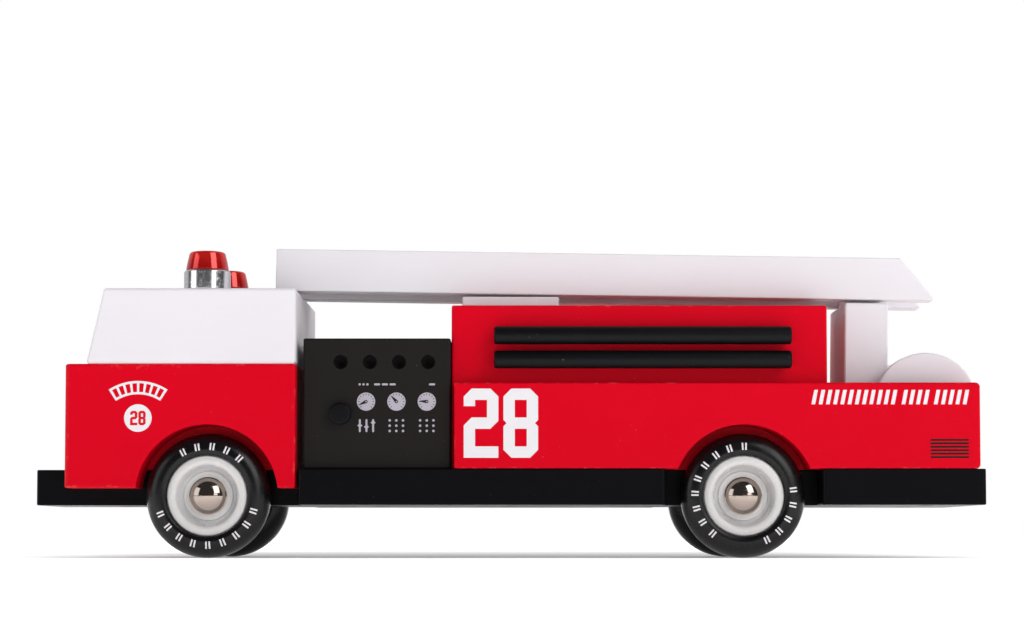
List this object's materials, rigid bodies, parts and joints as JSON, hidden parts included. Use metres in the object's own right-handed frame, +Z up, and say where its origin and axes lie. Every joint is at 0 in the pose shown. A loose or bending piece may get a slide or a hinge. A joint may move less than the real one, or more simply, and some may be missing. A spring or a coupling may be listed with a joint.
{
  "type": "toy fire engine",
  "caption": "Wooden toy ladder truck: block cab and body on a board chassis, rubber-tyred wheels that turn, and a ladder arm that raises and slides out.",
  "frame": {"origin": "on the ground, under the middle of the chassis board", "axes": "+X towards the tail, +Z up, +Y to the truck's right side"},
  "size_m": [0.3582, 0.0848, 0.1188],
  "materials": {
    "red_lacquer": "satin lacquer",
    "white_lacquer": "satin lacquer",
    "black_lacquer": "satin lacquer",
    "charcoal_lacquer": "matte lacquer",
    "plain_wood": "sanded",
    "white_plastic": "satin",
    "tyre_rubber": "satin",
    "polished_nickel": "polished",
    "steel": "plain",
    "bright_aluminium": "polished",
    "red_lens": "clear red"
  },
  "bodies": {
    "truck": {"axle_front": "steel", "axle_rear": "steel", "beacon_base_left": "bright_aluminium", "beacon_base_right": "bright_aluminium", "beacon_lens_left": "red_lens", "beacon_lens_right": "red_lens", "beacon_studs": "steel", "body_block": "red_lacquer", "cab_dowels": "plain_wood", "cab_lower": "red_lacquer", "cab_upper": "white_lacquer", "chassis": "black_lacquer", "chassis_screws": "steel", "hinge_ear_left": "white_lacquer", "hinge_ear_right": "white_lacquer", "hinge_pin": "plain_wood", "hose_lower_left": "black_lacquer", "hose_lower_right": "black_lacquer", "hose_pegs": "black_lacquer", "hose_upper_left": "black_lacquer", "hose_upper_right": "black_lacquer", "hub_cap_front_left": "polished_nickel", "hub_cap_front_right": "polished_nickel", "hub_cap_rear_left": "polished_nickel", "hub_cap_rear_right": "polished_nickel", "ladder_rest": "white_lacquer", "pump_block": "charcoal_lacquer", "rear_deck": "red_lacquer", "side_panel_left": "red_lacquer", "side_panel_right": "red_lacquer"},
    "wheel_front_left": {"tyre_front_left": "tyre_rubber", "rim_front_left": "white_plastic"},
    "wheel_front_right": {"tyre_front_right": "tyre_rubber", "rim_front_right": "white_plastic"},
    "wheel_rear_left": {"tyre_rear_left": "tyre_rubber", "rim_rear_left": "white_plastic"},
    "wheel_rear_right": {"tyre_rear_right": "tyre_rubber", "rim_rear_right": "white_plastic"},
    "knob_left": {"pump_knob_left": "black_lacquer", "pump_knob_stem_left": "steel"},
    "knob_right": {"pump_knob_right": "black_lacquer", "pump_knob_stem_right": "steel"},
    "ladder_arm": {"post_core": "white_lacquer", "post_cheek_left": "white_lacquer", "post_cheek_right": "white_lacquer", "post_pins": "plain_wood", "ladder_rail_left": "white_lacquer", "ladder_rail_right": "white_lacquer", "ladder_rungs": "plain_wood"},
    "fly_ladder": {"fly_rail_left": "white_lacquer", "fly_rail_right": "white_lacquer", "fly_rungs": "plain_wood"}
  },
  "joints": [
    {"name": "spin_front_left", "type": "hinge", "parent": "truck", "child": "wheel_front_left", "pos_m": [-0.1122, 0, 0.0233], "axis": [0, 1, 0], "continuous": true},
    {"name": "spin_front_right", "type": "hinge", "parent": "truck", "child": "wheel_front_right", "pos_m": [-0.1122, 0, 0.0233], "axis": [0, 1, 0], "continuous": true},
    {"name": "spin_rear_left", "type": "hinge", "parent": "truck", "child": "wheel_rear_left", "pos_m": [0.0886, 0, 0.0233], "axis": [0, 1, 0], "continuous": true},
    {"name": "spin_rear_right", "type": "hinge", "parent": "truck", "child": "wheel_rear_right", "pos_m": [0.0886, 0, 0.0233], "axis": [0, 1, 0], "continuous": true},
    {"name": "turn_knob_left", "type": "hinge", "parent": "truck", "child": "knob_left", "pos_m": [-0.0626, 0, 0.0541], "axis": [0, 1, 0], "continuous": true},
    {"name": "turn_knob_right", "type": "hinge", "parent": "truck", "child": "knob_right", "pos_m": [-0.0626, 0, 0.0541], "axis": [0, 1, 0], "continuous": true},
    {"name": "ladder_raise", "type": "hinge", "parent": "truck", "child": "ladder_arm", "pos_m": [0.1594, 0, 0.0585], "axis": [0, 1, 0], "range_deg": [0, 75]},
    {"name": "fly_extend", "type": "slide", "parent": "ladder_arm", "child": "fly_ladder", "axis": [-0.9999, 0, 0.0152], "range_m": [0, 0.13]}
  ]
}
